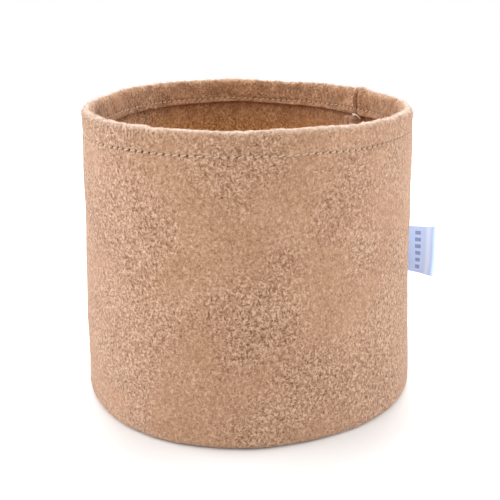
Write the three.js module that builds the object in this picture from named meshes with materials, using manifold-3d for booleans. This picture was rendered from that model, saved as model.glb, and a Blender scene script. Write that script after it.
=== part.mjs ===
import * as THREE from 'three';
import { mergeVertices } from 'three/addons/utils/BufferGeometryUtils.js';
import ManifoldModule from 'manifold-3d';

// Fabric grow bag: an open-topped pot of needle-punched felt, sewn from a strip and a disc.
// The strip is rolled into a tube with a plain seam inside, folded over at the rim for a hem
// and turned up inside at the floor, where it is sewn to the turned-up edge of the disc.
// A folded ribbon label is sewn on the outside by a short foot, and its loop swings free.
// Millimetres, Z up, floor at z = 0. Angles run from -Y towards +X.

// Overall sizes
const HEIGHT = 180;
const RIM_RADIUS = 100;
const BASE_RADIUS = 103;
const FELT_THICKNESS = 3.4;

// Hem at the rim
const HEM_DEPTH = 16.4;
const HEM_STITCH_DEPTH = 13;
const HEM_GAP = 0.4;

// Side seam, with both edges of the strip turned inwards
const SIDE_SEAM_ANGLE = THREE.MathUtils.degToRad(124);
const SIDE_SEAM_SLIT = 0.4;
const SIDE_SEAM_ALLOWANCE = 10;

// Base seam, with both edges turned up inside the bag
const BASE_SEAM_TOP = 13;
const BASE_SEAM_STITCH_HEIGHT = 7;
const BASE_SEAM_GAP = 1.6;
const BASE_FOLD_INSIDE_RADIUS = 0.6;

// Short stitched tack that holds the side seam open inside the hem
const TACK_OFFSET = 3.2;

// Ribbon label
const LABEL_ANGLE = THREE.MathUtils.degToRad(95.5);
const LABEL_BOTTOM = 69;
const LABEL_WIDTH = 30;
const LABEL_REACH = 21;
const LABEL_REST_ANGLE = THREE.MathUtils.degToRad(-30);
const LABEL_THICKNESS = 1;
const LABEL_FOOT_THICKNESS = 0.8;
const LABEL_FOOT_LENGTH = 8;
const LABEL_FOOT_SETBACK = 1.9;
const LABEL_STITCH_INSET = 2.6;
const LABEL_STITCH_MARGIN = 1;

// Sewing thread and the clearance left between neighbouring pieces
const THREAD_DIAMETER = 0.8;
const CLEARANCE = 0.3;

// Facets
const RING_SEGMENTS = 72;
const FOLD_STEPS = 8;
const THREAD_SIDES = 5;
const ROD_SIDES = 8;

const hemFoldRadius = FELT_THICKNESS + HEM_GAP / 2;
const baseTurnRadius = FELT_THICKNESS + BASE_SEAM_GAP / 2;
const baseFoldRadius = BASE_FOLD_INSIDE_RADIUS + FELT_THICKNESS;
const threadRadius = THREAD_DIAMETER / 2;
const threadOffset = CLEARANCE + threadRadius;

const { Manifold, Mesh } = await loadManifold();

async function loadManifold() {
  const wasm = await ManifoldModule();
  wasm.setup();
  return wasm;
}

// Outer face of the wall at a height: the bag is a little wider at the floor than at the rim.
function wallRadius(z) {
  return BASE_RADIUS + (RIM_RADIUS - BASE_RADIUS) * (z / HEIGHT);
}

function addArc(points, centre, radius, start, end, steps) {
  for (let step = 0; step <= steps; step += 1) {
    const angle = start + (end - start) * (step / steps);
    points.push(new THREE.Vector2(centre.x + radius * Math.cos(angle), centre.y + radius * Math.sin(angle)));
  }
}

function weld(geometry) {
  geometry.deleteAttribute('normal');
  geometry.deleteAttribute('uv');
  return mergeVertices(geometry, 1e-4);
}

function revolve(profile) {
  const geometry = new THREE.LatheGeometry(profile, RING_SEGMENTS);
  geometry.rotateX(Math.PI / 2);
  return weld(geometry);
}

function toSolid(geometry) {
  const welded = weld(geometry.clone());
  return new Manifold(new Mesh({
    numProp: 3,
    vertProperties: new Float32Array(welded.attributes.position.array),
    triVerts: new Uint32Array(welded.index.array),
  }));
}

function toGeometry(solid) {
  const mesh = solid.getMesh();
  const geometry = new THREE.BufferGeometry();
  geometry.setAttribute('position', new THREE.BufferAttribute(mesh.vertProperties, 3));
  geometry.setIndex(new THREE.BufferAttribute(mesh.triVerts, 1));
  return geometry;
}

// Moves a piece built against the foot of the wall so that it keeps its distance all the way up.
function followWall(geometry) {
  const position = geometry.attributes.position;
  const point = new THREE.Vector3();
  for (let i = 0; i < position.count; i += 1) {
    point.fromBufferAttribute(position, i);
    const radius = Math.hypot(point.x, point.y);
    const scale = (radius + wallRadius(point.z) - BASE_RADIUS) / radius;
    position.setXY(i, point.x * scale, point.y * scale);
  }
  return geometry;
}

// Turns a piece laid out along +X round to an angle measured from -Y.
function turnTo(geometry, angle) {
  return geometry.rotateZ(angle - Math.PI / 2);
}

// The strip: outer face up, over the hem, down the hem flap, back up inside the hem, down the
// inner face, round the turn at the floor and up the seam allowance.
function wallProfile() {
  const foldHeight = HEIGHT - hemFoldRadius;
  const hemEdge = HEIGHT - HEM_DEPTH;
  const turnCentre = new THREE.Vector2(wallRadius(baseTurnRadius) - baseTurnRadius, baseTurnRadius);
  const foldCentre = new THREE.Vector2(wallRadius(foldHeight) - hemFoldRadius, foldHeight);
  const points = [];
  addArc(points, turnCentre, baseTurnRadius, Math.PI, 2 * Math.PI, FOLD_STEPS);
  addArc(points, foldCentre, hemFoldRadius, 0, Math.PI, FOLD_STEPS);
  points.push(new THREE.Vector2(wallRadius(hemEdge) - 2 * hemFoldRadius, hemEdge));
  points.push(new THREE.Vector2(wallRadius(hemEdge) - FELT_THICKNESS - HEM_GAP, hemEdge));
  addArc(points, foldCentre, HEM_GAP / 2, Math.PI, 0, 3);
  addArc(points, turnCentre, BASE_SEAM_GAP / 2, 2 * Math.PI, Math.PI, 4);
  points.push(new THREE.Vector2(wallRadius(BASE_SEAM_TOP) - FELT_THICKNESS - BASE_SEAM_GAP, BASE_SEAM_TOP));
  points.push(new THREE.Vector2(wallRadius(BASE_SEAM_TOP) - 2 * baseTurnRadius, BASE_SEAM_TOP));
  points.push(points[0].clone());
  return points;
}

// The strip's two edges, turned inwards from above the base seam to below the hem flap.
function sideSeamEdges() {
  const bottom = BASE_SEAM_TOP + CLEARANCE;
  const top = HEIGHT - HEM_DEPTH - CLEARANCE;
  const outer = BASE_RADIUS - FELT_THICKNESS / 2;
  const inner = BASE_RADIUS - FELT_THICKNESS - SIDE_SEAM_ALLOWANCE;
  const edges = new THREE.BoxGeometry(outer - inner, 2 * FELT_THICKNESS + SIDE_SEAM_SLIT, top - bottom);
  edges.translate((outer + inner) / 2, 0, (top + bottom) / 2);
  return turnTo(followWall(edges), SIDE_SEAM_ANGLE);
}

function sideSeamSlit() {
  const reach = Math.max(RIM_RADIUS, BASE_RADIUS);
  const slit = new THREE.BoxGeometry(reach, SIDE_SEAM_SLIT, 2 * HEIGHT);
  slit.translate(reach / 2 + FELT_THICKNESS + SIDE_SEAM_ALLOWANCE, 0, HEIGHT / 2);
  return turnTo(slit, SIDE_SEAM_ANGLE);
}

function wallPanel() {
  const tube = toSolid(revolve(wallProfile())).add(toSolid(sideSeamEdges()));
  return toGeometry(tube.subtract(toSolid(sideSeamSlit())));
}

// The disc, with its edge turned up against the strip's allowance.
function basePanel() {
  const inset = 2 * baseTurnRadius + CLEARANCE;
  const edge = wallRadius(BASE_SEAM_TOP) - inset;
  const corner = new THREE.Vector2(wallRadius(baseFoldRadius) - inset - baseFoldRadius, baseFoldRadius);
  const points = [new THREE.Vector2(0, 0)];
  addArc(points, corner, baseFoldRadius, -Math.PI / 2, 0, 4);
  points.push(new THREE.Vector2(edge, BASE_SEAM_TOP));
  points.push(new THREE.Vector2(edge - FELT_THICKNESS, BASE_SEAM_TOP));
  addArc(points, corner, BASE_FOLD_INSIDE_RADIUS, 0, -Math.PI / 2, 2);
  points.push(new THREE.Vector2(0, FELT_THICKNESS));
  return revolve(points);
}

// A row of stitches round the bag, as one ring of thread.
function threadRing(radius, z) {
  const points = [];
  addArc(points, new THREE.Vector2(radius, z), threadRadius, 0, 2 * Math.PI, THREAD_SIDES);
  return revolve(points);
}

// An upright row of stitches, as one rod of thread, at a radius on the foot of the wall.
function threadRod(radius, sideways, bottom, top, angle) {
  const rod = new THREE.CylinderGeometry(threadRadius, threadRadius, top - bottom, ROD_SIDES);
  rod.rotateX(Math.PI / 2);
  rod.translate(radius, sideways, (bottom + top) / 2);
  return turnTo(followWall(rod), angle);
}

function sideSeamThread(side) {
  const radius = BASE_RADIUS - FELT_THICKNESS - 2 * CLEARANCE - threadRadius;
  const sideways = side * (SIDE_SEAM_SLIT / 2 + FELT_THICKNESS + threadOffset);
  const bottom = BASE_SEAM_TOP + CLEARANCE;
  const top = HEIGHT - HEM_DEPTH - CLEARANCE;
  return threadRod(radius, sideways, bottom, top, SIDE_SEAM_ANGLE);
}

function tackThread(radius) {
  const bottom = HEIGHT - HEM_STITCH_DEPTH + threadRadius + CLEARANCE;
  const top = HEIGHT - hemFoldRadius;
  return threadRod(radius, TACK_OFFSET, bottom, top, SIDE_SEAM_ANGLE);
}

// The label's foot: both ends of the ribbon lying on the wall behind the hinge line.
function labelFoot() {
  const inner = BASE_RADIUS + CLEARANCE;
  const outer = inner + LABEL_FOOT_THICKNESS;
  const start = LABEL_FOOT_SETBACK / inner;
  const end = start + LABEL_FOOT_LENGTH / inner;
  const outline = new THREE.Shape();
  outline.absarc(0, 0, outer, start, end, false);
  outline.absarc(0, 0, inner, end, start, true);
  const foot = new THREE.ExtrudeGeometry(outline, {
    depth: LABEL_WIDTH,
    bevelEnabled: false,
    curveSegments: 4,
  });
  foot.translate(0, 0, LABEL_BOTTOM);
  return turnTo(followWall(weld(foot)), LABEL_ANGLE);
}

// The label's loop: a flat tongue, rounded about the hinge line at one end and at its fold. At
// rest it leans forwards from straight out.
function labelFlag() {
  const half = LABEL_THICKNESS / 2;
  const root = BASE_RADIUS + CLEARANCE + half;
  const outline = new THREE.Shape();
  outline.absarc(root, 0, half, Math.PI / 2, 1.5 * Math.PI, false);
  outline.absarc(root + LABEL_REACH - half, 0, half, -Math.PI / 2, Math.PI / 2, false);
  const flag = new THREE.ExtrudeGeometry(outline, {
    depth: LABEL_WIDTH,
    bevelEnabled: false,
    curveSegments: 6,
  });
  flag.translate(-root, 0, LABEL_BOTTOM);
  flag.rotateZ(LABEL_REST_ANGLE);
  flag.translate(root, 0, 0);
  return turnTo(followWall(weld(flag)), LABEL_ANGLE);
}

function labelThread(radius) {
  const angle = LABEL_ANGLE + (LABEL_FOOT_SETBACK + LABEL_STITCH_INSET) / BASE_RADIUS;
  const bottom = LABEL_BOTTOM + LABEL_STITCH_MARGIN;
  const top = LABEL_BOTTOM + LABEL_WIDTH - LABEL_STITCH_MARGIN;
  return threadRod(radius, 0, bottom, top, angle);
}

function felt() {
  return new THREE.MeshStandardMaterial({ color: '#c59d80', roughness: 0.95, metalness: 0 });
}

function thread() {
  return new THREE.MeshStandardMaterial({ color: '#b88f70', roughness: 0.7, metalness: 0 });
}

function satin() {
  return new THREE.MeshStandardMaterial({ color: '#dfe3f6', roughness: 0.4, metalness: 0 });
}

const group = new THREE.Group();
group.name = 'fabric_grow_bag';

function addPiece(name, geometry, material) {
  const shown = geometry.toNonIndexed();
  shown.computeVertexNormals();
  const mesh = new THREE.Mesh(shown, material);
  mesh.name = name;
  group.add(mesh);
}

const hemStitchHeight = HEIGHT - HEM_STITCH_DEPTH;
const hemStitchRadius = wallRadius(hemStitchHeight);
const baseStitchRadius = wallRadius(BASE_SEAM_STITCH_HEIGHT);
const flapInset = 2 * hemFoldRadius + threadOffset;
const baseFlangeInset = 2 * baseTurnRadius + CLEARANCE + FELT_THICKNESS + threadOffset;
const labelOuterRadius = BASE_RADIUS + CLEARANCE + LABEL_FOOT_THICKNESS + threadOffset;

addPiece('wall_panel', wallPanel(), felt());
addPiece('base_panel', basePanel(), felt());

addPiece('hem_needle_thread', threadRing(hemStitchRadius + threadOffset, hemStitchHeight), thread());
addPiece('hem_bobbin_thread', threadRing(hemStitchRadius - flapInset, hemStitchHeight), thread());
addPiece('hem_tack_needle_thread', tackThread(BASE_RADIUS + threadOffset), thread());
addPiece('hem_tack_bobbin_thread', tackThread(BASE_RADIUS - flapInset), thread());

addPiece('side_seam_needle_thread', sideSeamThread(1), thread());
addPiece('side_seam_bobbin_thread', sideSeamThread(-1), thread());

const baseSeamNeedleRadius = baseStitchRadius - FELT_THICKNESS - BASE_SEAM_GAP / 2;
addPiece('base_seam_needle_thread', threadRing(baseSeamNeedleRadius, BASE_SEAM_STITCH_HEIGHT), thread());
addPiece(
  'base_seam_bobbin_thread',
  threadRing(baseStitchRadius - baseFlangeInset, BASE_SEAM_STITCH_HEIGHT),
  thread(),
);

addPiece('label_foot', labelFoot(), satin());
addPiece('label_flag', labelFlag(), satin());
addPiece('label_needle_thread', labelThread(labelOuterRadius), thread());
addPiece('label_bobbin_thread', labelThread(BASE_RADIUS - FELT_THICKNESS - threadOffset), thread());

export default group;
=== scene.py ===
import math

import bpy
import numpy as np
from mathutils import Matrix, Vector


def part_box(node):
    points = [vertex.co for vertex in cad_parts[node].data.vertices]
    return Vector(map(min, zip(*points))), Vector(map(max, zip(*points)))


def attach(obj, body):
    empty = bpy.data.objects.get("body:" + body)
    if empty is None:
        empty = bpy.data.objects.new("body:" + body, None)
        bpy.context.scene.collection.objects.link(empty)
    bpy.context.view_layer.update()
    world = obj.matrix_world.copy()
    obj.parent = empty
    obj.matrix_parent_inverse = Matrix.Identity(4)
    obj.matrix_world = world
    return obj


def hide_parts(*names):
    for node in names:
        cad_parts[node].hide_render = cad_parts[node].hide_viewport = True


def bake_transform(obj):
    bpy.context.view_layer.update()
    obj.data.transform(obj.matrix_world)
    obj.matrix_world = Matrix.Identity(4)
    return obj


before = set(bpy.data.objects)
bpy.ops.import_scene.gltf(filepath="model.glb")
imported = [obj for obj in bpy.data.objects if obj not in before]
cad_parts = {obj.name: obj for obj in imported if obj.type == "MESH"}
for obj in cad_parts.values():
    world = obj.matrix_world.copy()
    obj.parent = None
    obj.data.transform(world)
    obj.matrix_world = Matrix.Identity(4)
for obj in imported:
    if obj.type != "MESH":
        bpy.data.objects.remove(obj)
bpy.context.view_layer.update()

# Camera. It stands in front of the bag and a little above its rim, so that the far side of the
# hem shows inside the mouth.
EYE = (0.0, -0.54567, 0.26284)
LENS_MM = 64.8
LOOK_DOWN = math.radians(18.045)
LOOK_RIGHT = math.radians(0.346)
TILT = math.radians(0.265)

eye = bpy.data.objects.new("eye", bpy.data.cameras.new("eye"))
eye.data.lens = LENS_MM
eye.data.sensor_width = 36.0
eye.data.clip_start = 0.01
eye.data.clip_end = 50.0
eye.matrix_world = (
    Matrix.Translation(EYE)
    @ Matrix.Rotation(-LOOK_RIGHT, 4, "Z")
    @ Matrix.Rotation(math.pi / 2 - LOOK_DOWN, 4, "X")
    @ Matrix.Rotation(TILT, 4, "Z")
)
bpy.context.scene.collection.objects.link(eye)
bpy.context.scene.camera = eye
bpy.context.scene.view_settings.view_transform = "Standard"


# Floor and light. A white studio floor stands under an even white surround, with a large soft
# panel at each side and one high up behind the bag.
FLOOR_HALF = 1.0
SURROUND = 1.0
SOFT_PANELS = (
    ("left_panel", (-1.5, 0.10, 0.80), (1.2, 1.6), 19.0),
    ("right_panel", (1.6, 0.25, 0.75), (1.0, 1.5), 15.5),
    ("back_panel", (0.0, 1.10, 1.15), (1.4, 0.9), 24.0),
)


class Strand:
    """A value or a geometry in a node tree. Sums on it add Math nodes, and node() any other."""

    def __init__(self, tree, socket=None):
        self.tree, self.socket = tree, socket

    def node(self, kind, settings=None, values=None, out=0):
        made = self.tree.nodes.new(kind)
        for key, value in (settings or {}).items():
            if key == "stops":
                ramp = made.color_ramp.elements
                while len(ramp) < len(value):
                    ramp.new(0.5)
                for element, (place, colour) in zip(ramp, value):
                    element.position, element.color = place, (*colour, 1.0)
            else:
                setattr(made, key, value)
        for key, value in (values or {}).items():
            if isinstance(value, Strand):
                self.tree.links.new(value.socket, made.inputs[key])
            else:
                made.inputs[key].default_value = value
        return Strand(self.tree, made.outputs[out] if len(made.outputs) else None)

    def also(self, out):
        return Strand(self.tree, self.socket.node.outputs[out])

    def maths(self, operation, *values):
        inputs = dict(enumerate((self, *values)))
        return self.node("ShaderNodeMath", {"operation": operation}, inputs)

    def plus(self, other):
        return self.node("ShaderNodeVectorMath", {"operation": "ADD"}, {0: self, 1: other})

    def scaled(self, amount):
        return self.node("ShaderNodeVectorMath", {"operation": "SCALE"}, {0: self, 3: amount})

    def axis(self, name):
        return self.node("ShaderNodeSeparateXYZ", None, {0: self}, name)

    def point(self, x=0.0, y=0.0, z=0.0):
        return self.node("ShaderNodeCombineXYZ", None, {0: x, 1: y, 2: z})

    def smooth_step(self, low, high):
        """Rises from 0 to 1 as this value goes from low to high."""
        values = {"Value": self, "From Min": low, "From Max": high}
        return self.node("ShaderNodeMapRange", {"interpolation_type": "SMOOTHSTEP"}, values)

    def noise(self, place, scale, detail=2.0, rough=0.5, warp=0.0):
        values = {"Vector": place, "Scale": scale, "Detail": detail, "Roughness": rough}
        return self.node("ShaderNodeTexNoise", None, {**values, "Distortion": warp})

    def mixed(self, share, low, high, how="MIX"):
        """Two colours mixed by a share. A colour written out is three numbers."""
        low, high = (c if isinstance(c, Strand) else (*c, 1.0) for c in (low, high))
        settings = {"data_type": "RGBA", "blend_type": how}
        return self.node("ShaderNodeMix", settings, {0: share, 6: low, 7: high}, out=2)

    def bumped(self, strength, distance):
        """Bumps in the surface as high as this value."""
        values = {"Height": self, "Strength": strength, "Distance": distance}
        return self.node("ShaderNodeBump", None, values)

    def painted(self, name, out="Fac"):
        """A value that the mesh carries, for use in its material."""
        return self.node("ShaderNodeAttribute", {"attribute_name": name}, out=out)

    def moved(self, position):
        """This geometry with its points put at a position."""
        return self.node("GeometryNodeSetPosition", None, {"Geometry": self, "Position": position})

    def stored(self, name, value, kind="FLOAT", domain="POINT"):
        """This geometry with a value kept on it by name."""
        values = {"Geometry": self, "Name": name, "Value": value}
        settings = {"data_type": kind, "domain": domain}
        return self.node("GeometryNodeStoreNamedAttribute", settings, values)

    def __add__(self, other):
        return self.maths("ADD", other)

    __radd__ = __add__

    def __sub__(self, other):
        return self.maths("SUBTRACT", other)

    def __rsub__(self, other):
        return self.node("ShaderNodeMath", {"operation": "SUBTRACT"}, {0: other, 1: self})

    def __mul__(self, other):
        return self.maths("MULTIPLY", other)

    __rmul__ = __mul__

    def __truediv__(self, other):
        return self.maths("DIVIDE", other)

    def __rtruediv__(self, other):
        return self.node("ShaderNodeMath", {"operation": "DIVIDE"}, {0: other, 1: self})

    def __pow__(self, other):
        return self.maths("POWER", other)


def new_material(name):
    material = bpy.data.materials.new(name)
    material.use_nodes = True
    material.node_tree.nodes.clear()
    return material, Strand(material.node_tree)


def finish_material(start, values):
    shader = start.node("ShaderNodeBsdfPrincipled", None, values)
    start.node("ShaderNodeOutputMaterial", None, {"Surface": shader})


def floor_white():
    material, start = new_material("floor_white")
    place = start.node("ShaderNodeTexCoord", out="Object")
    tone = start.noise(place, 2.0, 2.0)
    colour = start.mixed(tone, (0.86, 0.86, 0.86), (0.89, 0.89, 0.89))
    finish_material(start, {"Base Color": colour, "Roughness": 0.9})
    return material


def add_piece(name, mesh):
    piece = bpy.data.objects.new(name, mesh)
    bpy.context.scene.collection.objects.link(piece)
    return piece


def give(mesh, name, values):
    """Writes a number or a vector on each point of a mesh."""
    values = np.array(values, float)
    kind, key = ("FLOAT", "value") if values.ndim == 1 else ("FLOAT_VECTOR", "vector")
    mesh.attributes.new(name, kind, "POINT").data.foreach_set(key, values.ravel())


floor_mesh = bpy.data.meshes.new("floor")
floor_mesh.from_pydata(
    [(x * FLOOR_HALF, y * FLOOR_HALF, 0.0) for x, y in ((-1, -1), (1, -1), (1, 1), (-1, 1))],
    [],
    [(0, 1, 2, 3)],
)
floor_mesh.materials.append(floor_white())
add_piece("floor", floor_mesh)

surround = bpy.data.worlds.new("surround")
surround.use_nodes = True
surround.node_tree.nodes["Background"].inputs["Color"].default_value = (1.0, 1.0, 1.0, 1.0)
surround.node_tree.nodes["Background"].inputs["Strength"].default_value = SURROUND
bpy.context.scene.world = surround

for name, place, (wide, tall), watts in SOFT_PANELS:
    panel = bpy.data.objects.new(name, bpy.data.lights.new(name, "AREA"))
    panel.data.shape = "RECTANGLE"
    panel.data.size, panel.data.size_y = wide, tall
    panel.data.energy = watts
    aim = Vector((0.0, 0.0, 0.1)) - Vector(place)
    panel.matrix_world = Matrix.Translation(place) @ aim.to_track_quat("-Z", "Y").to_matrix().to_4x4()
    bpy.context.scene.collection.objects.link(panel)


# Wall panel. One strip of needle-punched polyester felt, rolled into a tube. Its top edge is
# folded in for the hem, its lower edge is turned up inside, and its ends meet in a plain seam.
FELT = 0.0034
HEM_DEPTH = 0.0164
HEM_STITCH_DEPTH = 0.013
HEM_PLY_GAP = 0.0004
BASE_SEAM_TOP = 0.013
BASE_SEAM_GAP = 0.0016
SEAM_ANGLE = math.radians(124)
SEAM_ALLOWANCE = 0.010
SEAM_SLIT = 0.0004
STITCHES_ROUND = 151
COLUMNS_PER_STITCH = 6
# The wall's mean radius, by which the felt's pattern is laid along the strip.
UV_RADIUS = 0.1015
# The thread's slack goes up and down four times round: its middle, its swing and where it starts.
SLACK_MIDDLE, SLACK_SWING, SLACK_START = 0.62, 0.38, 2.65
# The hem's raw edge wanders three times round: how far it sits above its cut, and its swing.
RAW_EDGE_LIFT, RAW_EDGE_SWING = 0.0002, 0.0006

wall_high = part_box("wall_panel")[1]
hem_ring_low, hem_ring_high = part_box("hem_needle_thread")
BAG_HEIGHT = wall_high.z
HEM_STITCH_HEIGHT = BAG_HEIGHT - HEM_STITCH_DEPTH
BASE_RADIUS = 0.103
WALL_LEAN = (0.5 * (hem_ring_high.x - hem_ring_low.x) - 0.0011 - BASE_RADIUS) / HEM_STITCH_HEIGHT
HEM_TURN = FELT + HEM_PLY_GAP / 2
BASE_TURN = FELT + BASE_SEAM_GAP / 2
# How far from round the bag stands: parts of the radius, twice and three times round.
RIM_OUT_OF_ROUND = (0.034, -0.0018, -0.0238, -0.0210)
BASE_OUT_OF_ROUND = (-0.0092, 0.0105, 0.0027, -0.0228)


def wall_radius(z):
    return BASE_RADIUS + WALL_LEAN * z


class Outline:
    """Points round a cut through a felt panel, and what the felt does at each of them."""

    def __init__(self):
        self.points, self.right_side, self.pull, self.band, self.raw = [], [], [], [], []

    def add(self, radius, z, right_side, pull=0.0, raw=0.0):
        self.points.append((radius, z))
        self.right_side.append(right_side)
        self.pull.append(pull)
        self.raw.append(raw)
        self.band.append(1.0 if z > BAG_HEIGHT - HEM_DEPTH - 0.001 else 0.0)

    def turn(self, centre, radius, start, end, steps, right_side):
        for step in range(steps + 1):
            angle = math.radians(start + (end - start) * step / steps)
            x, z = centre[0] + radius * math.cos(angle), centre[1] + radius * math.sin(angle)
            self.add(x, z, right_side)

    def mesh(self, name):
        points = np.array(self.points)
        ahead, behind = np.roll(points, -1, 0), np.roll(points, 1, 0)
        if self.points[0] == self.points[-1]:
            ahead[-1], behind[0] = points[1], points[-2]
        else:
            ahead[-1], behind[0] = points[-1], points[0]
        along = ahead - behind
        along /= np.maximum(np.linalg.norm(along, axis=1), 1e-9)[:, None]
        steps = np.linalg.norm(np.diff(points, axis=0), axis=1)
        made = bpy.data.meshes.new(name)
        made.from_pydata([(x, 0.0, z) for x, z in points], [], [])
        for key, values in (
            ("outward", np.stack([along[:, 1], np.zeros(len(points)), -along[:, 0]], axis=1)),
            ("right_side", self.right_side),
            ("pull", self.pull),
            ("band", self.band),
            ("raw", self.raw),
            ("cloth", np.concatenate([[0.0], np.cumsum(steps)])),
        ):
            give(made, key, values)
        return made


def stitch_pull(z):
    """How strongly the row of hem stitches draws the felt in at a height."""
    return math.exp(-(((z - HEM_STITCH_HEIGHT) / 0.0012) ** 2))


def wall_outline():
    cut = Outline()
    turn_centre = (wall_radius(BASE_TURN) - BASE_TURN, BASE_TURN)
    fold_z = BAG_HEIGHT - HEM_TURN
    fold_centre = (wall_radius(fold_z) - HEM_TURN, fold_z)
    hem_edge = BAG_HEIGHT - HEM_DEPTH
    near = HEM_STITCH_HEIGHT
    cut.turn(turn_centre, BASE_TURN, 180, 360, 8, 1.0)
    for z in [*np.linspace(0.009, near - 0.006, 24), *np.linspace(near - 0.005, near + 0.005, 19)]:
        cut.add(wall_radius(z), z, 1.0, stitch_pull(z))
    for z in (near + 0.0065, near + 0.008):
        cut.add(wall_radius(z), z, 1.0)
    cut.turn(fold_centre, HEM_TURN, 0, 180, 10, 1.0)
    for z in [near + 0.0075, near + 0.0055, near + 0.0038, *np.linspace(near + 0.0022, near - 0.0019, 9)]:
        cut.add(wall_radius(z) - 2 * HEM_TURN, z, 1.0, stitch_pull(z))
    edge_in, edge_out = wall_radius(hem_edge) - 2 * HEM_TURN, wall_radius(hem_edge) - FELT - HEM_PLY_GAP
    cut.add(edge_in, hem_edge + 0.0004, 1.0, raw=1.0)
    cut.add(edge_in + 0.0005, hem_edge, 0.5, raw=1.0)
    cut.add(edge_out - 0.0005, hem_edge, 0.0, raw=1.0)
    cut.add(edge_out, hem_edge + 0.0004, 0.0, raw=1.0)
    cut.turn(fold_centre, HEM_PLY_GAP / 2, 180, 0, 3, 0.0)
    for z in np.linspace(hem_edge, 0.012, 10):
        cut.add(wall_radius(z) - FELT, z, 0.0)
    cut.turn(turn_centre, BASE_SEAM_GAP / 2, 360, 180, 4, 0.0)
    ply = wall_radius(BASE_SEAM_TOP) - 2 * BASE_TURN
    cut.add(ply + FELT, BASE_SEAM_TOP - 0.0005, 0.0)
    cut.add(ply + FELT - 0.0005, BASE_SEAM_TOP, 0.0)
    cut.add(ply + 0.0005, BASE_SEAM_TOP, 0.5)
    cut.add(ply, BASE_SEAM_TOP - 0.0005, 1.0)
    cut.add(*cut.points[0], 1.0)
    return cut.mesh("wall_outline")


def new_tree(name, inputs):
    """A geometry tree with named inputs: its start, and each input as a strand."""
    tree = bpy.data.node_groups.new(name, "GeometryNodeTree")
    tree.interface.new_socket("Geometry", in_out="OUTPUT", socket_type="NodeSocketGeometry")
    tree.interface.new_socket("Geometry", in_out="INPUT", socket_type="NodeSocketGeometry")
    for label, kind in inputs.items():
        tree.interface.new_socket(label, in_out="INPUT", socket_type="NodeSocket" + kind)
    entry = tree.nodes.new("NodeGroupInput")
    return Strand(tree), {s.name: Strand(tree, s) for s in entry.outputs if s.name}


def end_tree(geometry, material):
    """Closes a tree the way each one here ends: instances made real, then the material."""
    real = geometry.node("GeometryNodeRealizeInstances", None, {"Geometry": geometry})
    dressed = real.node("GeometryNodeSetMaterial", None, {"Geometry": real, "Material": material})
    dressed.node("NodeGroupOutput", None, {"Geometry": dressed})


def grow(name, mesh, tree, settings):
    """Runs a geometry tree on a mesh and keeps the result as a plain mesh piece."""
    piece = add_piece(name, mesh)
    maker = piece.modifiers.new("maker", "NODES")
    maker.node_group = tree
    for item in tree.interface.items_tree:
        if item.in_out == "INPUT" and item.name in settings:
            maker[item.identifier] = settings[item.name]
    bpy.context.view_layer.update()
    made = bpy.data.meshes.new_from_object(piece.evaluated_get(bpy.context.evaluated_depsgraph_get()))
    piece.modifiers.remove(maker)
    piece.data = made
    made.name = name
    return piece


def named(start, name, kind="FLOAT"):
    return start.node("GeometryNodeInputNamedAttribute", {"data_type": kind}, {"Name": name})


def out_of_round(start, angle, height):
    """How far the radius grows at an angle and a height, as a part of itself."""
    up = (height / BAG_HEIGHT).maths("MINIMUM", 1.0)
    total = 0.0
    waves = (("COSINE", 2), ("SINE", 2), ("COSINE", 3), ("SINE", 3))
    for (wave, times), rim, base in zip(waves, RIM_OUT_OF_ROUND, BASE_OUT_OF_ROUND):
        total = (angle * times).maths(wave) * (base + up * (rim - base)) + total
    return total


def slumped(start):
    """Where a point of the round bag goes as the soft felt slumps and waves: a field."""
    place = start.node("GeometryNodeInputPosition")
    x, y, z = place.axis("X"), place.axis("Y"), place.axis("Z")
    radius = (x * x + y * y) ** 0.5
    angle = x.maths("ARCTAN2", 0.0 - y)
    wave = start.noise(place, 16.0, 1.0)
    waved = (wave - 0.5) * 0.0032 * (radius / 0.1)
    grown = radius * (1.0 + out_of_round(start, angle, z)) + waved
    lift = start.node(
        "ShaderNodeTexNoise", {"noise_dimensions": "2D"}, {"Vector": place, "Scale": 26.0, "Detail": 2.0}
    )
    height = z + (lift - 0.5) * 0.0022 * (z / BAG_HEIGHT) ** 4
    across = grown / radius.maths("MAXIMUM", 1e-6)
    return start.point(x * across, y * across, height)


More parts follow.
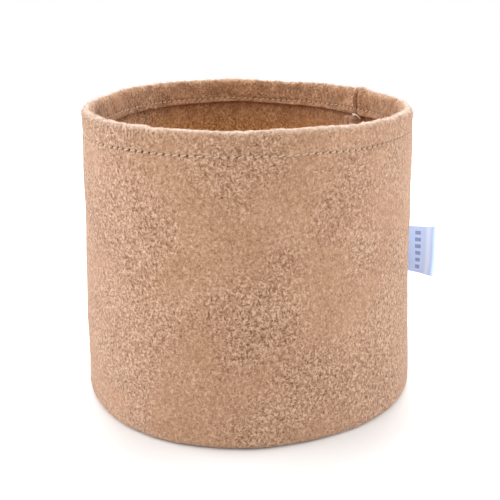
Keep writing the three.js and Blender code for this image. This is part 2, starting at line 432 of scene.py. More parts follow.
def rolled_felt_tree():
    """Carries a panel's cut right round the bag, draws it in at the stitches and lets it slump."""
    start, given = new_tree(
        "rolled_felt",
        {
            "Columns": "Int",
            "Stitch draw": "Float",
            "Needle hole": "Float",
            "Seam groove": "Float",
            "Seam bulge": "Float",
            "Lumps": "Float",
            "Edge lumps": "Float",
            "Puckers": "Float",
            "Disc": "Float",
            "Seed": "Float",
            "Felt": "Material",
        },
    )
    outline, columns = given["Geometry"], given["Columns"]
    rows = start.node("GeometryNodeAttributeDomainSize", None, {"Geometry": outline})
    sheet = start.node("GeometryNodeMeshGrid", None, {"Vertices X": columns + 1.0, "Vertices Y": rows})
    flat = sheet.also("UV Map")
    index = start.node("GeometryNodeInputIndex")
    column = ((index + 0.5) / rows).maths("FLOOR")
    row = index - column * rows

    def sample(field, kind="FLOAT", at=row):
        return start.node(
            "GeometryNodeSampleIndex", {"data_type": kind}, {"Geometry": outline, "Value": field, "Index": at}
        )

    place = sample(start.node("GeometryNodeInputPosition"), "FLOAT_VECTOR")
    outward = sample(named(start, "outward", "FLOAT_VECTOR"), "FLOAT_VECTOR")
    right_side, pull, band, raw = (
        sample(named(start, key)) for key in ("right_side", "pull", "band", "raw")
    )
    radius, height = place.axis("X"), place.axis("Z")
    share = column / columns
    angle = share * math.tau + SEAM_ANGLE
    around = (share - share.maths("ROUND")) * math.tau * radius

    swing = (column * (math.tau / COLUMNS_PER_STITCH)).maths("COSINE")
    uneven = start.node(
        "ShaderNodeTexNoise", {"noise_dimensions": "1D"}, {"W": share, "Scale": 38.0, "Detail": 2.0}
    )
    inward = (0.0 - outward.axis("X")).maths("MAXIMUM", 0.0)
    slack = (angle * 4.0 + SLACK_START).maths("COSINE") * SLACK_SWING + SLACK_MIDDLE
    hole = pull ** 5.0 * swing.maths("MAXIMUM", 0.0) ** 6.0 * (uneven * 1.6 + 0.15)
    hole = hole * slack * (1.0 - inward * 0.6)
    drawn = pull * (0.75 + 0.25 * swing) * given["Stitch draw"] + hole * given["Needle hole"]
    shoulder = 0.0028
    wander = start.noise(place, 160.0, 2.0)
    wandered = around + (wander - 0.5) * 0.0030
    inside = wandered.maths("ABSOLUTE")
    inside = shoulder - inside.maths("MINIMUM", shoulder)
    groove = shoulder - (shoulder * shoulder - inside * inside * 0.999).maths("SQRT")
    groove = groove / shoulder * right_side * given["Seam groove"]
    bulge = (0.0 - (around / 0.008) ** 2.0).maths("EXPONENT")
    bulge = bulge * band * right_side * given["Seam bulge"]
    direction = start.point(angle.maths("SINE"), 0.0 - angle.maths("COSINE"))
    on_tube = direction.scaled(radius)
    spot = start.point(on_tube.axis("X"), on_tube.axis("Y"), height + given["Seed"])
    lumps = start.noise(spot, 90.0, 2.0)
    lumps = (lumps - 0.5) * (right_side * 0.6 + 0.4) * given["Lumps"] * (1.0 - pull)
    crest = outward.axis("Z").maths("MAXIMUM", 0.0) * band
    tufts = start.noise(spot, 230.0, 2.0)
    tufts = (tufts - 0.5) * crest * given["Edge lumps"]
    slope = height * 0.6
    upright = start.point(spot.axis("X") + slope, spot.axis("Y") + slope, height * 0.35)
    puckers = start.noise(upright, 125.0, 2.0)
    # Painted shade: where the puckers dip, the flap inside the hem is darkened in colour.
    folds = (0.53 - puckers).maths("MAXIMUM", 0.0) * inward * band * 2.0
    puckers = (puckers - 0.5) * given["Puckers"] * (inward * band * 0.8 + 0.2) * (1.0 - pull * 0.6)
    push = lumps + tufts + puckers + bulge - drawn - groove
    inward = inward * (1.0 - band * 0.72)
    outer = outward.axis("X").smooth_step(-0.45, 0.35)
    # Painted highlight mask: the outer side of the rim's crest, near its top.
    rim_highlight = crest ** 3.0 * outer * height.maths("GREATER_THAN", BAG_HEIGHT - HEM_TURN * 1.4)
    out_r = radius + outward.axis("X") * push
    trim = RAW_EDGE_LIFT - (angle * 3.0).maths("COSINE") * RAW_EDGE_SWING
    out_z = height + outward.axis("Z") * push + raw * trim
    out_z = out_z.maths("MAXIMUM", 0.0)
    tube = sheet.moved(direction.scaled(out_r).plus(start.point(z=out_z)))

    line = (flat.axis("Y") * (rows - 1.0)).maths("ROUND")
    length = sample(named(start, "cloth"), at=line)
    strip = start.point(flat.axis("X") * (math.tau * UV_RADIUS), length)
    turned = flat.axis("X") * math.tau
    disc = start.point(turned.maths("COSINE") * length, turned.maths("SINE") * length)
    cloth = start.node(
        "ShaderNodeMix", {"data_type": "VECTOR"}, {0: given["Disc"], 4: strip, 5: disc}, out=1
    )
    for name, kind, domain, value in (
        ("UVMap", "FLOAT2", "CORNER", cloth),
        ("needle_hole", "FLOAT", "POINT", hole),
        ("crease", "FLOAT", "POINT", groove / 0.0034 + pull * pull * 0.10 + folds),
        ("inside", "FLOAT", "POINT", inward),
        ("shoulder", "FLOAT", "POINT", rim_highlight),
    ):
        tube = tube.stored(name, value, kind, domain)
    closed = start.node("GeometryNodeMergeByDistance", None, {"Geometry": tube, "Distance": 1e-6})
    soft = closed.moved(slumped(start))
    smooth = start.node("GeometryNodeSetShadeSmooth", None, {"Geometry": soft})
    end_tree(smooth, given["Felt"])
    return start.tree


# Painted bounce light: a warm tint multiplied into the felt inside the bag.
INNER_BOUNCE_TINT = (1.23, 1.07, 0.69)
# The pale tint painted along the rim's crest as a highlight.
RIM_HIGHLIGHT_TINT = (0.84, 0.66, 0.53)
DEEP_SHADE = (0.030, 0.015, 0.008)


def felt_material():
    """Heathered felt: short fibres lying every way, in tans from pale sand to brown."""
    material, start = new_material("tan_felt")
    cloth = start.node("ShaderNodeTexCoord", out="UV")
    place = start.node("ShaderNodeTexCoord", out="Object")

    def laid(turn, along, across, detail, rough, warp):
        """Noise drawn out into strokes that lie one way in the cloth."""
        size = (1 / along, 1 / across, 1.0)
        way = {"Vector": cloth, "Rotation": (0.0, 0.0, math.radians(turn)), "Scale": size}
        strokes = start.node("ShaderNodeMapping", {"vector_type": "TEXTURE"}, way)
        return start.noise(strokes, 1.0, detail, rough, warp)

    def ridge(value, sharp):
        off = value - 0.5
        line = 1.0 - off.maths("ABSOLUTE") * sharp
        return line.maths("MAXIMUM", 0.0)

    up = laid(68, 360, 1000, 2.0, 0.55, 0.6)
    down = laid(-42, 370, 960, 2.0, 0.55, 0.6)
    level = laid(12, 380, 1040, 2.0, 0.55, 0.6)
    steep = laid(-80, 360, 980, 2.0, 0.55, 0.6)
    high, low = up.maths("MAXIMUM", down), level.maths("MINIMUM", steep)
    hairs = ridge(laid(35, 150, 1500, 1, 0.5, 1.2), 9.0)
    hairs = hairs.maths("MAXIMUM", ridge(laid(-28, 160, 1400, 1, 0.5, 1.2), 9.0))
    hairs = hairs.maths("MAXIMUM", ridge(laid(88, 150, 1450, 1, 0.5, 1.2), 9.0))
    patchy = {"Value": start.noise(place, 20.0, 1.0), "From Min": 0.40, "From Max": 0.58}
    calm = start.node("ShaderNodeMapRange", None, {**patchy, "To Min": 0.5, "To Max": 1.0})
    tufts = start.noise(place, 520.0, 2.0, 0.6)
    tone = ((high + low - 1.0) * 1.5 + (tufts - 0.5) * 0.65) * calm + 0.5
    tone = tone + (hairs - 0.25) * 0.12
    patches = start.noise(place, 38.0, 3.0, 0.6)
    inside = start.painted("inside")
    turned_in = inside * (1.0 - inside) * 4.0
    # Painted shade: the turned-in hem flap is darkened, with a mottle that stands in for the shading of its
    # small folds.
    flap_mottle = start.noise(place, 150.0, 3.0, 0.6, 0.8)
    shade = tone + (patches - 0.5) * 0.20 + (flap_mottle - 0.5) * turned_in * 0.50 - turned_in * 0.045
    colour = start.node(
        "ShaderNodeValToRGB",
        {
            "stops": (
                (0.20, (0.175, 0.078, 0.035)),
                (0.42, (0.370, 0.194, 0.108)),
                (0.58, (0.492, 0.282, 0.170)),
                (0.85, (0.740, 0.500, 0.350)),
            )
        },
        {0: shade},
    )
    # Painted bounce light: inside the bag the felt is tinted warmer, as light bounced between its walls would
    # make it.
    colour = start.mixed(inside, colour, start.mixed(1.0, colour, INNER_BOUNCE_TINT, "MULTIPLY"))
    # Painted highlight: along the outer side of the rim's crest the colour is mixed towards a pale tint.
    rim_highlight_share = (start.painted("shoulder") * (tone * 1.6 - 0.05)).maths("MINIMUM", 0.8)
    colour = start.mixed(rim_highlight_share, colour, RIM_HIGHLIGHT_TINT)
    # Painted shade: needle holes, the seam groove, the stitch line and the pucker dips are darkened towards
    # deep shade.
    dark = start.painted("needle_hole") * 1.6 + start.painted("crease") * 0.55
    colour = start.mixed(dark.maths("MINIMUM", 0.9), colour, DEEP_SHADE)
    finish_material(
        start,
        {
            "Base Color": colour,
            "Roughness": 0.92,
            "Normal": tone.bumped(0.85, 0.0010),
            "Specular IOR Level": 0.25,
            "Sheen Weight": 0.28,
            "Sheen Roughness": 0.42,
            "Sheen Tint": (0.98, 0.94, 0.96, 1.0),
        },
    )
    return material


felt = felt_material()
rolled_felt = rolled_felt_tree()
COLUMNS = STITCHES_ROUND * COLUMNS_PER_STITCH
wall = grow(
    "felt_wall",
    wall_outline(),
    rolled_felt,
    {
        "Columns": COLUMNS,
        "Stitch draw": 0.0006,
        "Needle hole": 0.0011,
        "Seam groove": 0.0032,
        "Seam bulge": 0.0012,
        "Lumps": 0.0007,
        "Edge lumps": 0.0022,
        "Puckers": 0.0035,
        "Felt": felt,
    },
)
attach(wall, "bag")
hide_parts("wall_panel")


# Seam allowances. The strip's two ends are turned inwards where they meet and stand against each
# other inside the bag, from just above the base seam to just below the hem.
FIN_BOTTOM, FIN_TOP = BASE_SEAM_TOP + 0.0003, BAG_HEIGHT - HEM_DEPTH - 0.0014
FIN_ROWS = 90
FIN_SPLAY = 0.0003
FIN_LEAN = 0.0022


def slumped_piece_tree():
    start, given = new_tree("slumped_piece", {"Finish": "Material"})
    soft = given["Geometry"].moved(slumped(start))
    smooth = start.node("GeometryNodeSetShadeSmooth", None, {"Geometry": soft})
    end_tree(smooth, given["Finish"])
    return start.tree


def around_bag(angle, radius, sideways, z):
    """A point at an angle round from the front, a radius and a distance to the side of that."""
    out, side = (math.sin(angle), -math.cos(angle)), (math.cos(angle), math.sin(angle))
    return (out[0] * radius + side[0] * sideways, out[1] * radius + side[1] * sideways, z)


def grid_mesh(name, rings, lengths, heights):
    """A closed mesh from rings of points, with a UV map of the length round and the height."""
    rows, count = len(rings), len(rings[0])
    faces, uvs = [], []
    for row in range(rows - 1):
        for i in range(count):
            j = (i + 1) % count
            faces.append((row * count + i, row * count + j, (row + 1) * count + j, (row + 1) * count + i))
            for a, b in ((i, row), (i + 1, row), (i + 1, row + 1), (i, row + 1)):
                uvs.append((lengths[a], heights[b]))
    for row, order in ((0, -1), (rows - 1, 1)):
        cap = list(range(row * count, (row + 1) * count))[::order]
        half = count // 2
        for i in range(half - 1):
            quad = (cap[i], cap[i + 1], cap[count - 2 - i], cap[count - 1 - i])
            faces.append(quad)
            uvs += [(lengths[q % count], heights[row]) for q in quad]
    made = bpy.data.meshes.new(name)
    made.from_pydata([p for ring in rings for p in ring], [], faces)
    made.uv_layers.new(name="UVMap").data.foreach_set("uv", np.array(uvs, float).ravel())
    return made


def fin_mesh(side):
    """One allowance: side is 1 for the one further round from the front and -1 for the other."""
    rng = np.random.default_rng(11 + side)
    depth = FELT + SEAM_ALLOWANCE - FELT / 2
    waves = rng.uniform(0, math.tau, 6)
    rings, heights = [], np.linspace(FIN_BOTTOM, FIN_TOP, FIN_ROWS)
    near, far = SEAM_SLIT / 2, SEAM_SLIT / 2 + FELT
    soft = 0.0005
    cut = [(u, near) for u in np.linspace(0, depth - soft, 9)]
    cut += [(depth - soft * 0.3, near + soft * 0.3), (depth, near + soft)]
    cut += [(depth + 0.0001, (near + far) / 2), (depth, far - soft)]
    cut += [(depth - soft * 0.3, far - soft * 0.3)] + [(u, far) for u in np.linspace(depth - soft, 0, 9)]
    if len(cut) % 2:
        cut.insert(0, (0.0, (near + far) / 2))
    for z in heights:
        ring = []
        swell = sum(math.sin(z * k * 1000 + w) for k, w in zip((0.09, 0.17, 0.31), waves[:3])) / 3
        ragged = sum(math.sin(z * k * 1000 + w) for k, w in zip((0.5, 0.83, 1.4), waves[3:])) / 3
        for u, v in cut:
            reach = u / depth
            lean = reach**2 * (FIN_LEAN + FIN_SPLAY * (1.0 + 0.7 * swell) * side)
            radius = wall_radius(z) - FELT / 2 - u - 0.0003 * ragged * reach
            ring.append(around_bag(SEAM_ANGLE, radius, side * v + lean, z))
        rings.append(ring if side < 0 else ring[::-1])
    run = np.array(cut + cut[:1])
    lengths = np.concatenate([[0.0], np.cumsum(np.linalg.norm(np.diff(run, axis=0), axis=1))])
    return grid_mesh(f"fin_{side}", rings, lengths if side < 0 else lengths[::-1], heights)


slumped_piece = slumped_piece_tree()
fins = []
for name, side in (("seam_allowance_left", -1), ("seam_allowance_right", 1)):
    fin = grow(name, fin_mesh(side), slumped_piece, {"Finish": felt})
    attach(fin, "bag")
    fins.append(fin)
# Cut width: once round the middle of the felt and two allowances.
strip_width = math.tau * (wall_radius(BAG_HEIGHT / 2) - FELT / 2) + 2 * (SEAM_ALLOWANCE + FELT / 2)


# Base panel. A disc of the same felt, flat on the floor. Its edge is turned up inside the bag and
# sewn to the wall's turned-up edge.
BASE_FOLD = 0.0006 + FELT
BASE_COLUMNS = 240

base_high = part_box("base_panel")[1]


def base_outline():
    cut = Outline()
    edge = base_high.x
    corner = (edge - BASE_FOLD, BASE_FOLD)
    cut.add(0.0, 0.0, 1.0)
    for radius in np.linspace(0.004, corner[0] - 0.002, 22):
        cut.add(radius, 0.0, 1.0)
    cut.turn(corner, BASE_FOLD, -90, 0, 6, 1.0)
    cut.add(edge, BASE_SEAM_TOP - 0.004, 1.0)
    cut.add(edge, BASE_SEAM_TOP - 0.0005, 1.0)
    cut.add(edge - 0.0005, BASE_SEAM_TOP, 1.0)
    cut.add(edge - FELT + 0.0005, BASE_SEAM_TOP, 1.0)
    cut.add(edge - FELT, BASE_SEAM_TOP - 0.0005, 1.0)
    cut.add(edge - FELT, BASE_SEAM_TOP - 0.004, 1.0)
    cut.turn(corner, BASE_FOLD - FELT, 0, -90, 3, 1.0)
    for radius in np.linspace(corner[0] - 0.003, 0.004, 22):
        cut.add(radius, FELT, 1.0)
    cut.add(0.0, FELT, 1.0)
    made = cut.mesh("base_outline")
    steps = np.linalg.norm(np.diff(np.array(cut.points), axis=0), axis=1)
    run = np.concatenate([[0.0], np.cumsum(steps)])
    made.attributes["cloth"].data.foreach_set("value", np.minimum(run, run[-1] - run))
    return made


base = grow(
    "felt_base",
    base_outline(),
    rolled_felt,
    {
        "Columns": BASE_COLUMNS,
        "Lumps": 0.0005,
        "Disc": 1.0,
        "Seed": 3.0,
        "Felt": felt,
    },
)
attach(base, "bag")
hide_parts("base_panel")


# Ribbon label. A short length of pale satin ribbon, folded in half, its two ends sewn flat to the
# wall and its loop bending away forwards. A few plain bars are woven into it.
LABEL_ANGLE = math.radians(95.5)
LABEL_OFF_WALL = 0.0003
RIBBON = 0.00036
LABEL_SETBACK = 0.0019
LABEL_FOOT = 0.008
LABEL_REACH = 0.0207
LABEL_LEAN_LOW, LABEL_LEAN_HIGH = math.radians(-42), math.radians(-19)
LABEL_LOOP = 0.0019
# Where the two halves start to open towards the loop, and how far off the middle they lie till then.
LABEL_OPENS, LABEL_SHUT = 0.0105, 0.00030

flag_low, flag_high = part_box("label_flag")


def ribbon_path(lean):
    """The middle of the ribbon in plan from one end to the other: forwards, and off the wall."""
    ahead, out = math.sin(-lean), math.cos(-lean)
    path = []
    for back in np.linspace(LABEL_SETBACK + LABEL_FOOT, LABEL_SETBACK * 0.6, 12):
        path.append((-back, LABEL_OFF_WALL + RIBBON * 0.55))
    root = (0.0, LABEL_OFF_WALL + 0.0005)
    middle = LABEL_REACH - LABEL_LOOP
    stations = np.linspace(0.0010, middle - 0.0004, 20)
    opening = np.clip((stations - LABEL_OPENS) / (middle - LABEL_OPENS), 0, 1) ** 1.5
    widths = LABEL_SHUT + (LABEL_LOOP - LABEL_SHUT) * opening

    def beside(station, width):
        return (root[0] + ahead * station + out * width, root[1] + out * station - ahead * width)

    # The front half was pressed with a soft crease beside the loop.
    pressed = np.exp(-(((stations - 0.0158) / 0.0015) ** 2))
    pressed -= 0.8 * np.exp(-(((stations - 0.0182) / 0.0006) ** 2))
    path += [beside(s, w) for s, w in zip(stations, widths + 0.0002 * pressed)]
    for turn in np.linspace(80, -80, 11):
        turn = math.radians(turn)
        path.append(beside(middle + LABEL_LOOP * math.cos(turn), LABEL_LOOP * math.sin(turn)))
    path += [beside(s, -w) for s, w in zip(stations[::-1], widths[::-1])]
    for back in np.linspace(LABEL_SETBACK * 0.6, LABEL_SETBACK + LABEL_FOOT, 12):
        path.append((-back, LABEL_OFF_WALL + RIBBON * 1.65))
    return np.array(path)


def label_mesh():
    rows = 31
    heights = np.linspace(flag_low.z, flag_high.z, rows)
    rings = []
    for row, z in enumerate(heights):
        share = row / (rows - 1)
        lean = LABEL_LEAN_LOW + (LABEL_LEAN_HIGH - LABEL_LEAN_LOW) * share**0.8
        path = ribbon_path(lean)
        along = np.gradient(path, axis=0)
        along /= np.linalg.norm(along, axis=1)[:, None]
        side = np.stack([-along[:, 1], along[:, 0]], axis=1) * RIBBON / 2
        edge_in = 0.00004 * math.cos(share * math.pi * 17)
        ring = []
        for forwards, off in [*(path + side), *(path - side)[::-1]]:
            # The foot follows the wall round; the loop stands straight.
            turn = LABEL_ANGLE - min(forwards, 0.0) / BASE_RADIUS
            x, y, _ = around_bag(turn, wall_radius(z) + off, -max(forwards, 0.0), z)
            ring.append((x, y, z + edge_in * (1 if 0.1 < share < 0.9 else 0)))
        rings.append(ring)
    path = ribbon_path(LABEL_LEAN_LOW)
    run = np.concatenate([[0.0], np.cumsum(np.linalg.norm(np.diff(path, axis=0), axis=1))])
    lengths = [*run, *run[::-1], run[0]]
    made = grid_mesh("ribbon_label", rings, lengths, heights - flag_low.z)
    made.flip_normals()
    return made, run[-1]


# Painted light along the ribbon: a pale painted highlight beside the pressed crease and a darker painted
# shade band near the loop. For each: where it lies, how wide it is, how strong, and its tint.
RIBBON_LIGHT_AND_SHADE_BANDS = (
    (0.0262, 0.0015, 0.8, (0.78, 0.92, 1.0)),
    (0.0288, 0.0006, 0.35, (0.44, 0.54, 0.86)),
)
BARS_ALONG = 0.0198
BARS_LOW, BARS_HIGH = 0.0024, 0.0284
BAR_PITCH = 0.0044


def satin_material():
    """White-blue satin weave: fine lines across, tighter woven edges, and grey bars in a column.
    It glows faintly blue: painted light that makes it brighter and bluer."""
    material, start = new_material("ribbon_satin")
    cloth = start.node("ShaderNodeTexCoord", out="UV")
    along, up = cloth.axis("X"), cloth.axis("Y")
    wefts = (up * (math.tau / 0.00032)).maths("SINE")
    warps = (along * (math.tau / 0.00045)).maths("SINE")
    floats = start.noise(cloth, 900.0, 2.0)
    slub = start.noise(cloth, 130.0, 2.0)
    weave = wefts * 0.5 + warps * 0.25 + floats
    edge = (up - 0.015).maths("ABSOLUTE").maths("GREATER_THAN", 0.0139)
    pale = start.mixed(slub, (0.54, 0.69, 0.98), (0.60, 0.75, 1.0))
    # Painted highlight and shade in bands across the ribbon.
    for place, spread, strength, tint in RIBBON_LIGHT_AND_SHADE_BANDS:
        off = ((along - place) / spread) ** 2.0
        pale = start.mixed((off * -1.0).maths("EXPONENT") * strength, pale, tint)
    # Six bars, each 2.5 mm tall, one every 4.4 mm, on the half of the ribbon that faces forwards.
    rung = ((up - BARS_LOW) / BAR_PITCH).maths("FRACT")
    gap = rung.maths("LESS_THAN", 0.62) * rung.maths("GREATER_THAN", 0.06)
    inside = up.maths("GREATER_THAN", BARS_LOW) * up.maths("LESS_THAN", BARS_HIGH)
    wide = start.noise(cloth, 40.0, 0.0)
    column = (along - BARS_ALONG).maths("ABSOLUTE")
    bar = column.maths("LESS_THAN", 0.0008 + wide * 0.0018) * gap * inside
    ink = start.mixed(bar * 0.8, pale, (0.13, 0.15, 0.20))
    finish_material(
        start,
        {
            "Base Color": ink,
            # Painted light: a faint blue glow.
            "Emission Color": (0.30, 0.45, 1.0, 1.0),
            "Emission Strength": 0.24,
            "Roughness": 0.34 + edge * 0.15,
            "Normal": (weave + edge * 1.5).bumped(0.35, 0.0001),
            "Specular IOR Level": 0.45,
            "Sheen Weight": 0.15,
            "Sheen Roughness": 0.3,
        },
    )
    return material


label_shape, ribbon_length = label_mesh()
label = grow("ribbon_label", label_shape, slumped_piece, {"Finish": satin_material()})
flag_way = Vector(around_bag(LABEL_ANGLE + 0.5 * (LABEL_LEAN_LOW + LABEL_LEAN_HIGH), 1.0, 0.0, 0.0))
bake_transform(label)
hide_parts("label_foot", "label_flag")


# Sewing. Polyester thread in lockstitches: needle thread on one face of the felt and bobbin thread
# on the other, sunk a little where each stitch goes down.
THREAD = 0.0007
TWIST_PITCH = 0.0011
STITCH_PITCH = math.tau * wall_radius(HEM_STITCH_HEIGHT) / STITCHES_ROUND
STITCH_RISE = 0.0012


def jitter(start, seed, low, high):
    """A random amount between two limits, drawn anew for each copy."""
    values = {2: low, 3: high, "Seed": seed}
    return start.node("FunctionNodeRandomValue", {"data_type": "FLOAT"}, values, 1)


def rotated(start, rotation, axis, angle):
    """A rotation turned further, about one of its own axes."""
    twist = start.node("FunctionNodeAxisAngleToRotation", None, {"Axis": axis, "Angle": angle})
    values = {"Rotation": rotation, "Rotate By": twist}
    return start.node("FunctionNodeRotateRotation", {"rotation_space": "LOCAL"}, values)


def sewn_row_tree():
    """Lays one curved stitch on the cloth at each point of a row."""
    start, given = new_tree(
        "sewn_row",
        {
            "Cloth": "Object",
            "Stitch length": "Float",
            "Thread": "Float",
            "Rise": "Float",
            "Slant": "Float",
            "Unevenness": "Float",
            "Seed": "Int",
            "Finish": "Material",
        },
    )
    soft = given["Geometry"].moved(slumped(start))
    place = start.node("GeometryNodeInputPosition")
    aim, along = named(start, "aim", "FLOAT_VECTOR"), named(start, "along", "FLOAT_VECTOR")
    reach, slack = named(start, "reach"), named(start, "slack")
    source = place.plus(aim.scaled(reach * -0.5))
    target = start.node("GeometryNodeObjectInfo", None, {"Object": given["Cloth"]}, "Geometry")
    ray = start.node(
        "GeometryNodeRaycast",
        None,
        {"Target Geometry": target, "Source Position": source, "Ray Direction": aim, "Ray Length": reach},
        "Is Hit",
    )
    landed = start.node(
        "GeometryNodeSwitch",
        {"input_type": "VECTOR"},
        {"Switch": ray, "False": place, "True": ray.also("Hit Position")},
    )
    seated = soft.moved(landed)

    half = given["Stitch length"] * 0.5
    sunk = given["Thread"] * -0.35
    first, last = start.point(half * -1.0, 0.0, sunk), start.point(half, 0.0, sunk)
    top = start.point(z=given["Rise"])
    bow = {"Resolution": 6, "Start": first, "Middle": top, "End": last}
    arch = start.node("GeometryNodeCurveQuadraticBezier", None, bow)
    along_arch = start.node("GeometryNodeSplineParameter", out="Length")
    arch = arch.stored("run", along_arch)
    ring = start.node(
        "GeometryNodeCurvePrimitiveCircle", None, {"Resolution": 6, "Radius": given["Thread"] * 0.5}
    )
    ring = ring.stored("ply", place.scaled(1.0 / (0.5 * THREAD)), "FLOAT_VECTOR")
    stitch = start.node(
        "GeometryNodeCurveToMesh", None, {"Curve": arch, "Profile Curve": ring, "Fill Caps": True}
    )

    lie = start.node(
        "FunctionNodeAxesToRotation",
        {"primary_axis": "Z", "secondary_axis": "X"},
        {"Primary Axis": aim.scaled(-1.0), "Secondary Axis": along},
    )
    seed = given["Seed"]
    slant = given["Slant"] + jitter(start, seed + 1.0, -1.0, 1.0) * given["Unevenness"]
    lie = rotated(start, lie, (0.0, 0.0, 1.0), slant)
    sunk_here = start.noise(place, 28.0, 1.0)
    proud = jitter(start, seed + 3.0, 0.75, 1.05) * (sunk_here * 0.9 + 0.45) * slack
    size = start.point(jitter(start, seed + 2.0, 0.9, 1.06), 1.0, proud)
    row = start.node(
        "GeometryNodeInstanceOnPoints",
        None,
        {"Points": seated, "Instance": stitch, "Rotation": lie, "Scale": size},
    )
    real = start.node("GeometryNodeRealizeInstances", None, {"Geometry": row})
    smooth = start.node("GeometryNodeSetShadeSmooth", None, {"Geometry": real})
    end_tree(smooth, given["Finish"])
    return start.tree


def thread_material(name, dark, pale):
    """Twisted polyester thread, a little glossy and paler than the felt."""
    material, start = new_material(name)
    ply = start.painted("ply", "Vector")
    run = start.painted("run") * (math.tau / TWIST_PITCH)
    twist = run.maths("COSINE") * ply.axis("X") + run.maths("SINE") * ply.axis("Y")
    strand = (twist * 0.5 + 0.5).maths("SMOOTH_MIN", 0.85, 0.2)
    place = start.node("ShaderNodeTexCoord", out="Object")
    worn = start.noise(place, 300.0, 1.0)
    shade = strand * 0.7 + worn * 0.5 - 0.1
    colour, relief = start.mixed(shade, dark, pale), strand.bumped(0.6, 0.00015)
    finish_material(start, {"Base Color": colour, "Roughness": 0.5, "Normal": relief})
    return material


sewn_row = sewn_row_tree()
thread_finish = thread_material("sewing_thread", (0.44, 0.275, 0.175), (0.82, 0.62, 0.46))
# A paler copy of the sewing thread for the tack, its knot and tail: painted light, so that they show brighter
# than the sewing thread.
tack_lit_finish = thread_material("tack_thread", (0.62, 0.46, 0.33), (0.95, 0.86, 0.74))


def sew(
    name, node, spots, cloth, length, slant=0.0, seed=1, reach=0.006, rise=STITCH_RISE, finish=thread_finish
):
    """One row of stitches. Each spot is a point, the ways into the cloth and along, and the slack."""
    points, aims, alongs, slacks = zip(*spots)
    mesh = bpy.data.meshes.new(name)
    mesh.from_pydata(points, [], [])
    for key, values in (
        ("aim", aims), ("along", alongs), ("reach", np.full(len(points), reach)), ("slack", slacks)
    ):
        give(mesh, key, values)
    row = grow(
        name,
        mesh,
        sewn_row,
        {
            "Cloth": cloth,
            "Stitch length": length,
            "Thread": THREAD,
            "Rise": rise,
            "Slant": slant,
            "Unevenness": 0.09,
            "Seed": seed,
            "Finish": finish,
        },
    )
    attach(row, "bag")
    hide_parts(node)
    return row


def ring_of_spots(radius, z, inwards):
    spots = []
    for stitch in range(STITCHES_ROUND):
        angle = SEAM_ANGLE + math.tau * (stitch + 0.5) / STITCHES_ROUND
        out = (math.sin(angle), -math.cos(angle), 0.0)
        aim = tuple(-v for v in out) if inwards else out
        slack = SLACK_MIDDLE + SLACK_SWING * math.cos(4 * angle + SLACK_START)
        along = (math.cos(angle), math.sin(angle), 0.0)
        spots.append((around_bag(angle, radius, 0.0, z), aim, along, slack))
    return spots


def upright_spots(angle, inset, sideways, bottom, top, aim, pitch=STITCH_PITCH):
    count = max(2, round((top - bottom) / pitch))
    spots = []
    for stitch in range(count):
        z = bottom + (top - bottom) * (stitch + 0.5) / count
        spots.append((around_bag(angle, wall_radius(z) - inset, sideways, z), aim, (0.0, 0.0, 1.0), 1.0))
    return spots


def way_out(angle):
    return Vector((math.sin(angle), -math.cos(angle), 0.0))


def way_round(angle):
    return Vector((math.cos(angle), math.sin(angle), 0.0))


STITCH = STITCH_PITCH * 0.64
SLANT = math.radians(16)
hem_radius = wall_radius(HEM_STITCH_HEIGHT)
sew(
    "hem_stitches_outside",
    "hem_needle_thread",
    ring_of_spots(hem_radius, HEM_STITCH_HEIGHT, True),
    wall,
    STITCH,
    SLANT,
    seed=5,
)
sew(
    "hem_stitches_inside",
    "hem_bobbin_thread",
    ring_of_spots(hem_radius - 2 * HEM_TURN, HEM_STITCH_HEIGHT, False),
    wall,
    STITCH * 0.9,
    SLANT,
    seed=9,
    rise=STITCH_RISE * 0.55,
)
TACK_PITCH = 0.0024
tack_angle = SEAM_ANGLE + 0.0032 / wall_radius(0.172)
tack_low, tack_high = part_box("hem_tack_needle_thread")
for name, node, inset, inwards, seed in (
    ("tack_stitches_outside", "hem_tack_needle_thread", 0.0, True, 13),
    ("tack_stitches_inside", "hem_tack_bobbin_thread", 2 * HEM_TURN, False, 17),
):
    aim = way_out(tack_angle) * (-1 if inwards else 1)
    spots = upright_spots(tack_angle, inset, 0.0, tack_low.z, tack_high.z - 0.001, aim, TACK_PITCH)
    tack_rise = STITCH_RISE * 1.8
    sew(name, node, spots, wall, TACK_PITCH * 0.85, SLANT, seed, rise=tack_rise, finish=tack_lit_finish)

# The tack ends in a small knot on top of the seam allowances, with a short tail beside them.
KNOT = 0.00041
tail_points = []
for step in range(25):
    turn = math.tau * step / 25
    tail_points.append(
        (
            0.0022 + KNOT * (math.cos(turn) - 2 * math.cos(2 * turn)),
            0.0004 + KNOT * (math.sin(turn) + 2 * math.sin(2 * turn)),
            -0.0003 - KNOT * 1.3 * math.sin(3 * turn),
        )
    )
tail_points += [
    (0.0024, -0.0014, -0.0001),
    (0.0023, -0.0028, -0.0002),
    (0.0016, -0.0040, -0.0010),
    (0.0009, -0.0045, -0.0021),
]
tail_curve = bpy.data.curves.new("tack_tail", "CURVE")
tail_curve.dimensions = "3D"
tail_curve.bevel_depth = THREAD * 0.6
tail_curve.bevel_resolution = 1
tail_curve.resolution_u = 4
tail_curve.use_fill_caps = True
tail_spline = tail_curve.splines.new("NURBS")
tail_spline.points.add(len(tail_points) - 1)
tail_spline.use_endpoint_u = True
tail_spline.order_u = 4
hem_edge = BAG_HEIGHT - HEM_DEPTH
for knot, (inwards, sideways, up) in zip(tail_spline.points, tail_points):
    reach = wall_radius(hem_edge) - 2 * HEM_TURN - inwards
    knot.co = (*around_bag(SEAM_ANGLE, reach, sideways, hem_edge + up), 1.0)
tail_source = add_piece("tack_tail_source", tail_curve)
bpy.context.view_layer.update()
tail_mesh = bpy.data.meshes.new_from_object(
    tail_source.evaluated_get(bpy.context.evaluated_depsgraph_get())
)
bpy.data.objects.remove(tail_source)
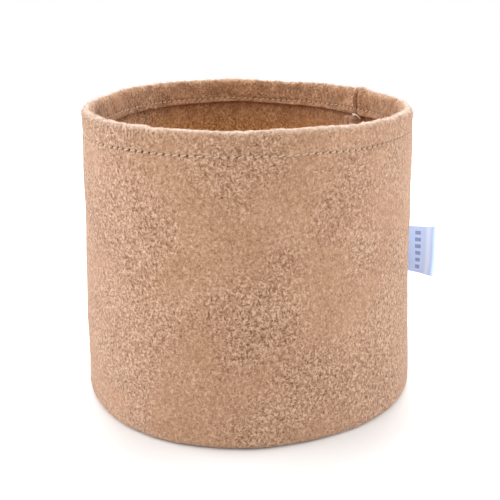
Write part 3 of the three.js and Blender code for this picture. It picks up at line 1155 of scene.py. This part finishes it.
tail = grow("tack_tail", tail_mesh, slumped_piece, {"Finish": tack_lit_finish})
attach(tail, "bag")

seam_inset = FELT + 0.0010
for name, node, side, seed in (
    ("side_seam_stitches_right", "side_seam_needle_thread", 1, 21),
    ("side_seam_stitches_left", "side_seam_bobbin_thread", -1, 25),
):
    spots = upright_spots(
        SEAM_ANGLE,
        seam_inset,
        side * (SEAM_SLIT / 2 + FELT),
        FIN_BOTTOM + 0.001,
        FIN_TOP - 0.001,
        way_round(SEAM_ANGLE) * -side,
    )
    sew(name, node, spots, fins[0] if side < 0 else fins[1], STITCH, seed=seed)

base_seam_low, base_seam_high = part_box("base_seam_needle_thread")
BASE_SEAM_STITCH_HEIGHT = 0.5 * (base_seam_low.z + base_seam_high.z)
sew(
    "base_seam_stitches_outside",
    "base_seam_needle_thread",
    ring_of_spots(
        wall_radius(BASE_SEAM_STITCH_HEIGHT) - FELT - BASE_SEAM_GAP, BASE_SEAM_STITCH_HEIGHT, True
    ),
    wall,
    STITCH,
    seed=29,
    reach=0.0014,
)
sew(
    "base_seam_stitches_inside",
    "base_seam_bobbin_thread",
    ring_of_spots(base_high.x - FELT, BASE_SEAM_STITCH_HEIGHT, False),
    base,
    STITCH,
    SLANT,
    seed=33,
)
label_row_angle = LABEL_ANGLE + (LABEL_SETBACK + 0.0026) / BASE_RADIUS
label_row_low, label_row_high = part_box("label_needle_thread")
for name, node, inset, cloth, inwards, seed in (
    ("label_stitches_outside", "label_needle_thread", -0.0011, label, True, 37),
    ("label_stitches_inside", "label_bobbin_thread", FELT, wall, False, 41),
):
    aim = way_out(label_row_angle) * (-1 if inwards else 1)
    spots = upright_spots(label_row_angle, inset, 0.0, label_row_low.z, label_row_high.z, aim)
    sew(name, node, spots, cloth, STITCH, seed=seed, reach=0.003)


# Nap. Loose ends of fibre that stand off the felt. They are thickest where the felt is folded over
# the rim, and there are none at the floor.
FIBRE = 0.00013
FIBRE_LENGTH = 0.0032
FIBRES_PER_AREA = 26000.0
FIBRES_AT_RIM = 140000.0


def nap_tree():
    start, given = new_tree(
        "nap",
        {
            "Cloth": "Object",
            "Fibre": "Float",
            "Length": "Float",
            "Density": "Float",
            "Rim density": "Float",
            "Rim height": "Float",
            "Seed": "Int",
            "Finish": "Material",
        },
    )
    cloth = start.node("GeometryNodeObjectInfo", None, {"Object": given["Cloth"]}, "Geometry")
    place = start.node("GeometryNodeInputPosition")
    z = place.axis("Z")
    near_rim = z.smooth_step(given["Rim height"] - 0.010, given["Rim height"])
    off_floor = z.smooth_step(0.002, 0.006)
    wanted = (given["Density"] + near_rim * (given["Rim density"] - given["Density"])) * off_floor
    spread = start.node(
        "GeometryNodeDistributePointsOnFaces",
        {"distribute_method": "RANDOM"},
        {"Mesh": cloth, "Density": wanted, "Seed": given["Seed"]},
    )
    seed = given["Seed"]
    spin, tip = jitter(start, seed + 1.0, 0.0, math.tau), jitter(start, seed + 2.0, -0.45, 0.05)
    turned = rotated(start, spread.also("Rotation"), (0.0, 0.0, 1.0), spin)
    turned = rotated(start, turned, (0.0, 1.0, 0.0), tip)

    half = given["Length"] * 0.5
    arch = start.node(
        "GeometryNodeCurveQuadraticBezier",
        None,
        {
            "Resolution": 3,
            "Start": start.point(half * -1.0, 0.0, given["Fibre"] * -1.0),
            "Middle": start.point(half * 0.2, half * 0.5, half * 0.35),
            "End": start.point(half, half * -0.2, half * 0.12),
        },
    )
    ring = start.node(
        "GeometryNodeCurvePrimitiveCircle", None, {"Resolution": 3, "Radius": given["Fibre"] * 0.5}
    )
    fibre = start.node(
        "GeometryNodeCurveToMesh", None, {"Curve": arch, "Profile Curve": ring, "Fill Caps": True}
    )
    long = jitter(start, seed + 3.0, 0.45, 1.15)
    size = start.point(long, long, jitter(start, seed + 4.0, 0.5, 1.3))
    laid = start.node(
        "GeometryNodeInstanceOnPoints",
        None,
        {"Points": spread, "Instance": fibre, "Rotation": turned, "Scale": size},
    )
    end_tree(laid, given["Finish"])
    return start.tree


def nap_material():
    """Single felt fibres: pale, slightly shiny, some of them darker."""
    material, start = new_material("felt_fibre")
    place = start.node("ShaderNodeTexCoord", out="Object")
    tone = start.noise(place, 400.0, 1.0)
    colour = start.node(
        "ShaderNodeValToRGB",
        {"stops": ((0.30, (0.36, 0.21, 0.13)), (0.50, (0.60, 0.42, 0.30)), (0.70, (0.80, 0.62, 0.50)))},
        {0: tone},
    )
    finish_material(start, {"Base Color": colour, "Roughness": 0.6, "Specular IOR Level": 0.3})
    return material


nap_seed = bpy.data.meshes.new("nap")
nap_seed.from_pydata([(0.0, 0.0, 0.0)], [], [])
nap = grow(
    "felt_nap",
    nap_seed,
    nap_tree(),
    {
        "Cloth": wall,
        "Fibre": FIBRE,
        "Length": FIBRE_LENGTH,
        "Density": FIBRES_PER_AREA,
        "Rim density": FIBRES_AT_RIM,
        "Rim height": BAG_HEIGHT - 0.004,
        "Seed": 7,
        "Finish": nap_material(),
    },
)
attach(nap, "bag")
